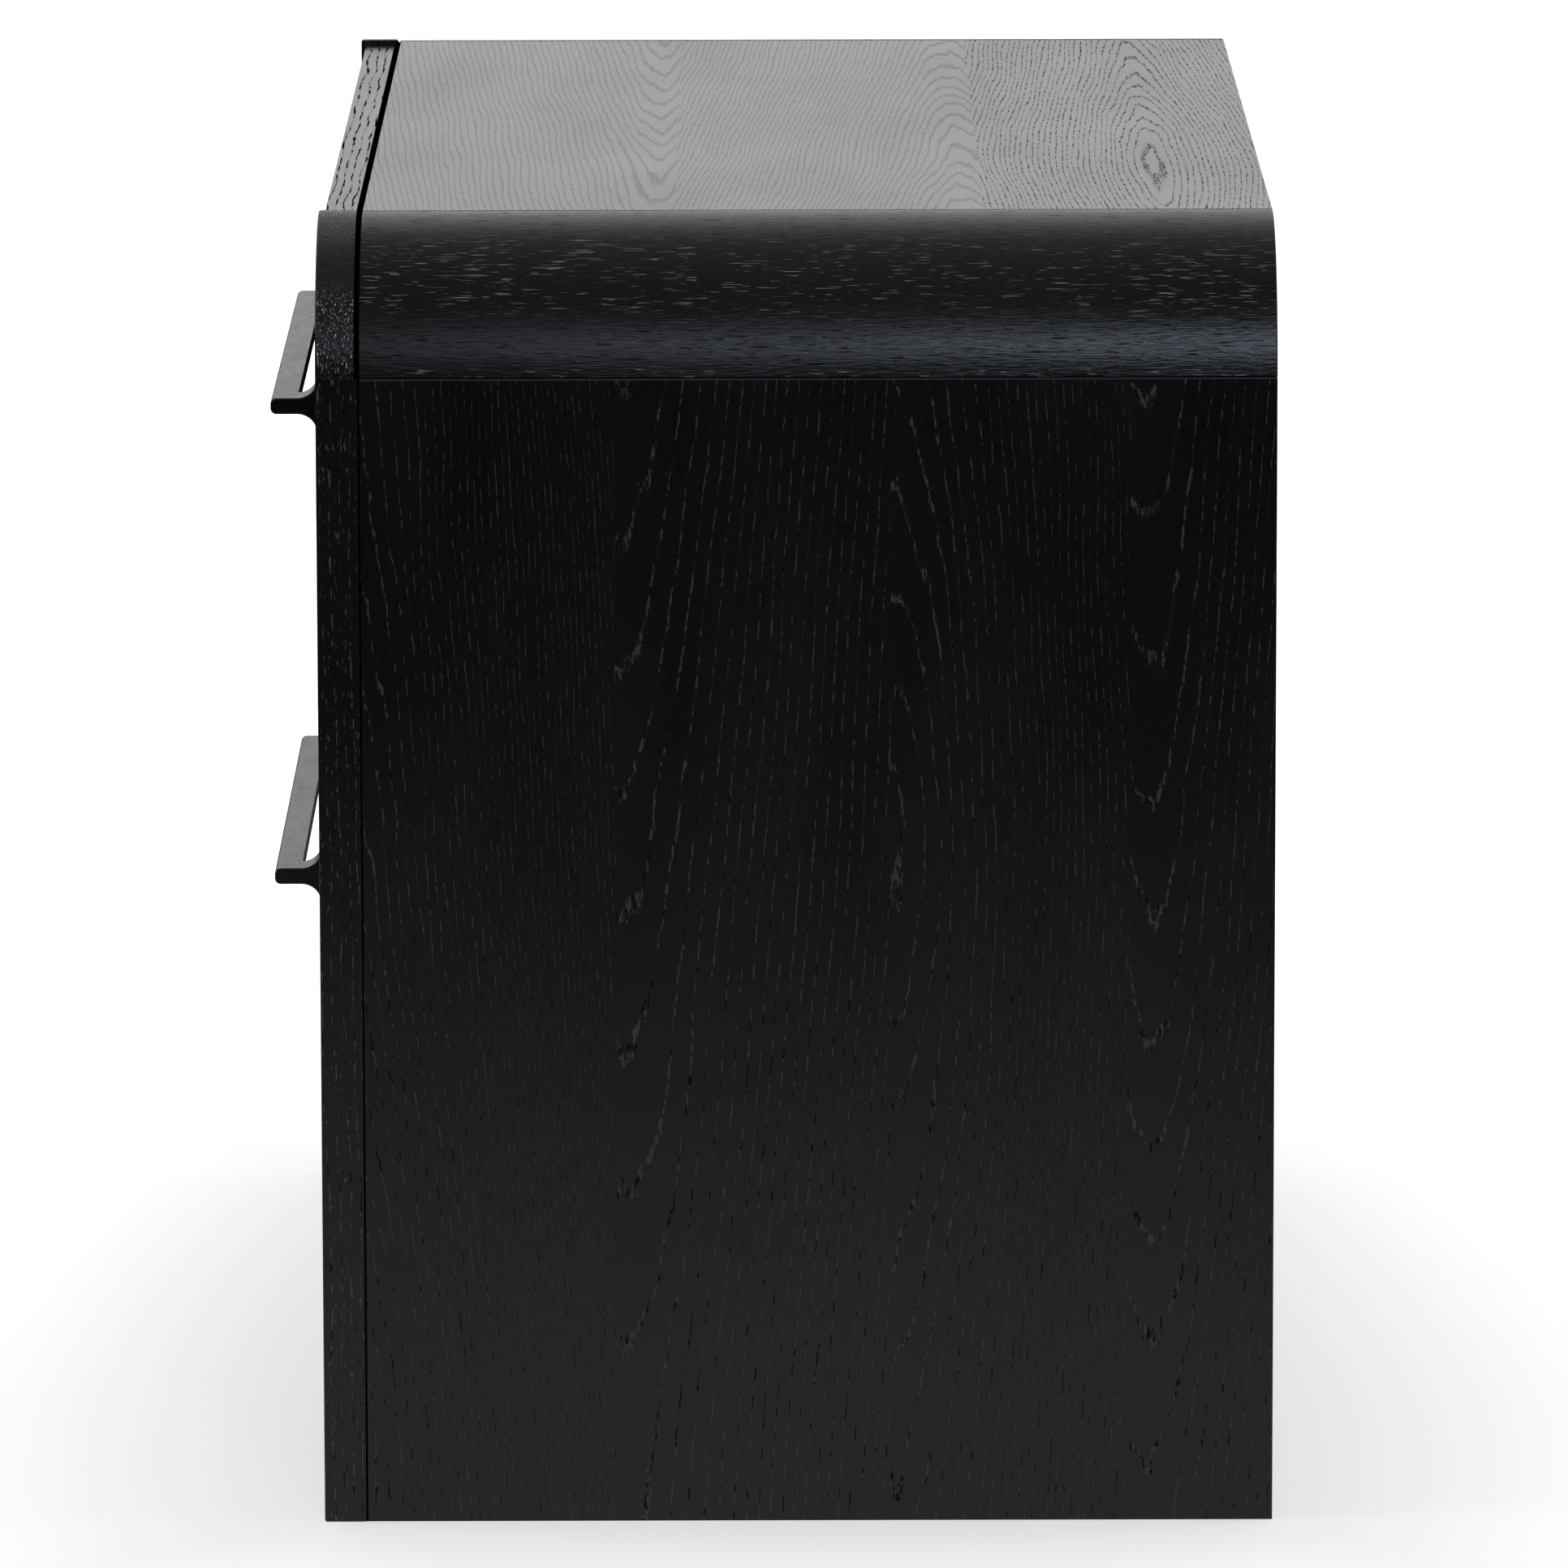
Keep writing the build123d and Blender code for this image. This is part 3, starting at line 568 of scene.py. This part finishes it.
# Soft boxes: where each stands, what it points at, its size, its brightness and its colour
softBoxes = {
    "windowBox": {
        "at": (7.3, 1.15, 2.61), "aim": (0.3, 0.05, 0.5), "size": (1.9, 2.18), "glow": 4.6,
        "colour": (0.74, 0.83, 1.0)},
    "frontBox": {
        "at": (0.3, -3.4, 2.0), "aim": (0, 0, 0.3), "size": (2.4, 1.6), "glow": 2.2, "colour": (1, 1, 1)},
    "backBox": {
        "at": (-0.3, 3.6, 2.0), "aim": (0, 0, 0.3), "size": (2.4, 1.6), "glow": 1.8, "colour": (1, 1, 1)},
}
for name, box in softBoxes.items():
    light = bpy.data.lights.new(name, "AREA")
    light.shape = "RECTANGLE"
    light.size, light.size_y = box["size"]
    light.energy = box["glow"] * math.pi * box["size"][0] * box["size"][1]
    light.color = box["colour"]
    lamp = bpy.data.objects.new(name, light)
    lamp.location = box["at"]
    lamp.rotation_mode = "QUATERNION"
    lamp.rotation_quaternion = (Vector(box["aim"]) - Vector(box["at"])).to_track_quat("-Z", "Y")
    lamp.visible_camera = False
    bpy.context.scene.collection.objects.link(lamp)
print("floor, studio and", len(softBoxes), "soft boxes placed")


# Camera: a long lens level with the side, a little above the top
cameraLook = {
    "at": (5.5568, 0.0008, 1.2774), "yaw": 0.0738, "pitch": 10.4579, "roll": -0.1227,
    "lens": 290.98, "sensor": 36.0, "clip": (0.1, 200.0),
}
yaw, pitch, roll = (math.radians(cameraLook[key]) for key in ("yaw", "pitch", "roll"))
forward = Vector((-math.cos(pitch) * math.cos(yaw), math.cos(pitch) * math.sin(yaw), -math.sin(pitch)))
level = forward.cross(Vector((0, 0, 1))).normalized()
upright = level.cross(forward)
right = math.cos(roll) * level + math.sin(roll) * upright
up = math.cos(roll) * upright - math.sin(roll) * level
cameraData = bpy.data.cameras.new("camera")
cameraData.lens = cameraLook["lens"]
cameraData.sensor_width = cameraLook["sensor"]
cameraData.clip_start, cameraData.clip_end = cameraLook["clip"]
camera = bpy.data.objects.new("camera", cameraData)
camera.matrix_world = Matrix([
    (right.x, up.x, -forward.x, cameraLook["at"][0]),
    (right.y, up.y, -forward.y, cameraLook["at"][1]),
    (right.z, up.z, -forward.z, cameraLook["at"][2]),
    (0, 0, 0, 1),
])
bpy.context.scene.collection.objects.link(camera)
bpy.context.scene.camera = camera
bpy.context.scene.view_settings.view_transform = "Standard"
print("camera placed")
